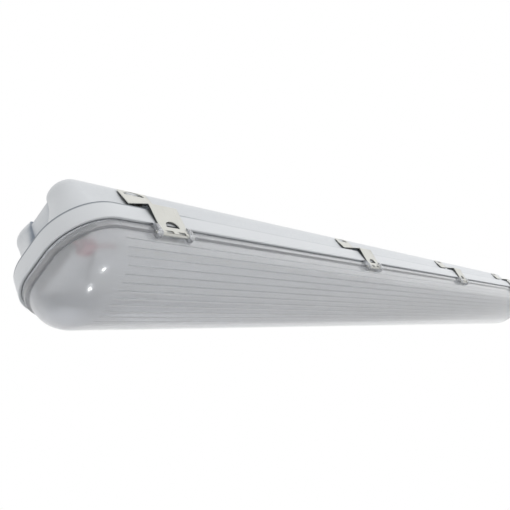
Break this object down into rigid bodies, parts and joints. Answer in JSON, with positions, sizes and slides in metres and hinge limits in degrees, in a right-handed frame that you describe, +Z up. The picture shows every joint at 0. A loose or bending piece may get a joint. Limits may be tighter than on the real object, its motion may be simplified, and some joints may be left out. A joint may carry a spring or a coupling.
{
  "type": "vapor tight light fixture",
  "caption": "Long sealed ceiling light: grey moulded body with a channel along its roof, clear reeded domed cover, spring-steel side latches, cable gland and snap-in ceiling brackets.",
  "frame": {"origin": "middle of the ceiling plane that the mounting brackets touch", "axes": "+X along the fixture towards the cable gland, +Z up to the ceiling"},
  "size_m": [1.5834, 0.1384, 0.1199],
  "materials": {
    "grey_polycarbonate": "satin moulded",
    "clear_polycarbonate": "clear, finely reeded",
    "stainless_steel": "satin",
    "white_painted_steel": "satin white paint",
    "foam_gasket": "matte foam",
    "white_circuit_board": "white solder mask",
    "driver_shell": "matte",
    "red_plastic": "gloss",
    "white_plastic": "satin",
    "grey_nylon": "satin",
    "black_rubber": "matte",
    "zinc_plated_steel": "bright zinc",
    "brown_insulation": "pvc",
    "blue_insulation": "pvc",
    "green_insulation": "pvc",
    "red_insulation": "pvc",
    "black_insulation": "pvc"
  },
  "bodies": {
    "fixture": {"housing": "grey_polycarbonate", "gasket": "foam_gasket", "gear_tray": "white_painted_steel", "led_driver": "driver_shell", "terminal_block": "white_plastic", "wire_connector": "red_plastic", "earth_screw": "zinc_plated_steel", "gland_body": "grey_nylon", "gland_washer": "black_rubber", "gland_seal": "black_rubber", "gland_nut": "grey_nylon", "gland_lock_nut": "grey_nylon", "wire_live": "brown_insulation", "wire_neutral": "blue_insulation", "wire_earth": "green_insulation", "wire_led_plus": "red_insulation", "wire_led_minus": "black_insulation", "wire_board_1": "red_insulation", "wire_board_2": "black_insulation", "wire_board_link": "red_insulation", "led_board_1": "white_circuit_board", "tray_screw_1": "zinc_plated_steel", "led_board_2": "white_circuit_board", "tray_screw_2": "zinc_plated_steel", "led_board_3": "white_circuit_board", "tray_screw_3": "zinc_plated_steel", "led_board_4": "white_circuit_board", "tray_screw_4": "zinc_plated_steel", "driver_screw_1": "zinc_plated_steel", "mounting_bracket_1": "stainless_steel", "driver_screw_2": "zinc_plated_steel", "mounting_bracket_2": "stainless_steel"},
    "cover": {"diffuser": "clear_polycarbonate", "latch_pin_near_1": "stainless_steel", "latch_pin_near_2": "stainless_steel", "latch_pin_near_3": "stainless_steel", "latch_pin_near_4": "stainless_steel", "latch_pin_far_1": "stainless_steel", "latch_pin_far_2": "stainless_steel", "latch_pin_far_3": "stainless_steel", "latch_pin_far_4": "stainless_steel"},
    "latch_near_1_body": {"latch_near_1": "stainless_steel"},
    "latch_near_2_body": {"latch_near_2": "stainless_steel"},
    "latch_near_3_body": {"latch_near_3": "stainless_steel"},
    "latch_near_4_body": {"latch_near_4": "stainless_steel"},
    "latch_far_1_body": {"latch_far_1": "stainless_steel"},
    "latch_far_2_body": {"latch_far_2": "stainless_steel"},
    "latch_far_3_body": {"latch_far_3": "stainless_steel"},
    "latch_far_4_body": {"latch_far_4": "stainless_steel"}
  },
  "joints": [
    {"name": "cover_drop", "type": "slide", "parent": "fixture", "child": "cover", "axis": [0, 0, -1], "range_m": [0, 0.06]},
    {"name": "latch_near_1_hinge", "type": "hinge", "parent": "cover", "child": "latch_near_1_body", "pos_m": [-0.6715, -0.063, -0.082], "axis": [1, 0, 0], "range_deg": [0, 115]},
    {"name": "latch_near_2_hinge", "type": "hinge", "parent": "cover", "child": "latch_near_2_body", "pos_m": [-0.22383, -0.063, -0.082], "axis": [1, 0, 0], "range_deg": [0, 115]},
    {"name": "latch_near_3_hinge", "type": "hinge", "parent": "cover", "child": "latch_near_3_body", "pos_m": [0.22383, -0.063, -0.082], "axis": [1, 0, 0], "range_deg": [0, 115]},
    {"name": "latch_near_4_hinge", "type": "hinge", "parent": "cover", "child": "latch_near_4_body", "pos_m": [0.6715, -0.063, -0.082], "axis": [1, 0, 0], "range_deg": [0, 115]},
    {"name": "latch_far_1_hinge", "type": "hinge", "parent": "cover", "child": "latch_far_1_body", "pos_m": [-0.6715, 0.063, -0.082], "axis": [-1, 0, 0], "range_deg": [0, 115]},
    {"name": "latch_far_2_hinge", "type": "hinge", "parent": "cover", "child": "latch_far_2_body", "pos_m": [-0.22383, 0.063, -0.082], "axis": [-1, 0, 0], "range_deg": [0, 115]},
    {"name": "latch_far_3_hinge", "type": "hinge", "parent": "cover", "child": "latch_far_3_body", "pos_m": [0.22383, 0.063, -0.082], "axis": [-1, 0, 0], "range_deg": [0, 115]},
    {"name": "latch_far_4_hinge", "type": "hinge", "parent": "cover", "child": "latch_far_4_body", "pos_m": [0.6715, 0.063, -0.082], "axis": [-1, 0, 0], "range_deg": [0, 115]}
  ],
  "couplings": [
    {"joint": "latch_near_1_hinge", "follows": "cover_drop", "rad_per_m": 33.4},
    {"joint": "latch_near_2_hinge", "follows": "cover_drop", "rad_per_m": 33.4},
    {"joint": "latch_near_3_hinge", "follows": "cover_drop", "rad_per_m": 33.4},
    {"joint": "latch_near_4_hinge", "follows": "cover_drop", "rad_per_m": 33.4},
    {"joint": "latch_far_1_hinge", "follows": "cover_drop", "rad_per_m": 33.4},
    {"joint": "latch_far_2_hinge", "follows": "cover_drop", "rad_per_m": 33.4},
    {"joint": "latch_far_3_hinge", "follows": "cover_drop", "rad_per_m": 33.4},
    {"joint": "latch_far_4_hinge", "follows": "cover_drop", "rad_per_m": 33.4}
  ]
}
